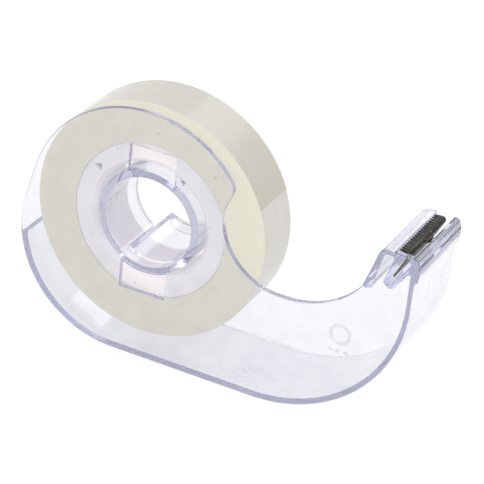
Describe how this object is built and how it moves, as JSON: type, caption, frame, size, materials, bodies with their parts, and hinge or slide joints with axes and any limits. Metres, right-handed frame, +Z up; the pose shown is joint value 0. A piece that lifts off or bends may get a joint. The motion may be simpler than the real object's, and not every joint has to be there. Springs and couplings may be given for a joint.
{
  "type": "tape dispenser",
  "caption": "Clear snail-shaped hand tape dispenser: a roll of narrow tape turns on a split snap-in hub, behind a folded toothed cutter blade.",
  "frame": {"origin": "on the flat base, straight below the hub axis and halfway across the moulding", "axes": "+X towards the cutter head, +Y from the closed side plate to the open side, +Z up"},
  "size_m": [0.0894, 0.022, 0.0582],
  "materials": {
    "clear_plastic": "clear glossy moulded polystyrene",
    "blade_steel": "dark rolled strip steel",
    "core_plastic": "translucent white moulded plastic",
    "tape_film": "wound translucent adhesive film"
  },
  "bodies": {
    "dispenser": {"dispenser_body": "clear_plastic", "cutter_blade": "blade_steel"},
    "roll": {"tape_core": "core_plastic", "tape_roll": "tape_film"},
    "finger_top": {"hub_finger_top": "clear_plastic"},
    "finger_bottom": {"hub_finger_bottom": "clear_plastic"}
  },
  "joints": [
    {"name": "roll_spin", "type": "hinge", "parent": "dispenser", "child": "roll", "pos_m": [0, -0.0032, 0.032], "axis": [0, 1, 0], "continuous": true},
    {"name": "finger_top_flex", "type": "hinge", "parent": "dispenser", "child": "finger_top", "pos_m": [0, -0.00715, 0.04285], "axis": [-1, 0, 0], "range_deg": [0, 5], "stiffness_Nm_per_rad": 1},
    {"name": "finger_bottom_flex", "type": "hinge", "parent": "dispenser", "child": "finger_bottom", "pos_m": [0, -0.00715, 0.02115], "axis": [1, 0, 0], "range_deg": [0, 5], "stiffness_Nm_per_rad": 1}
  ]
}
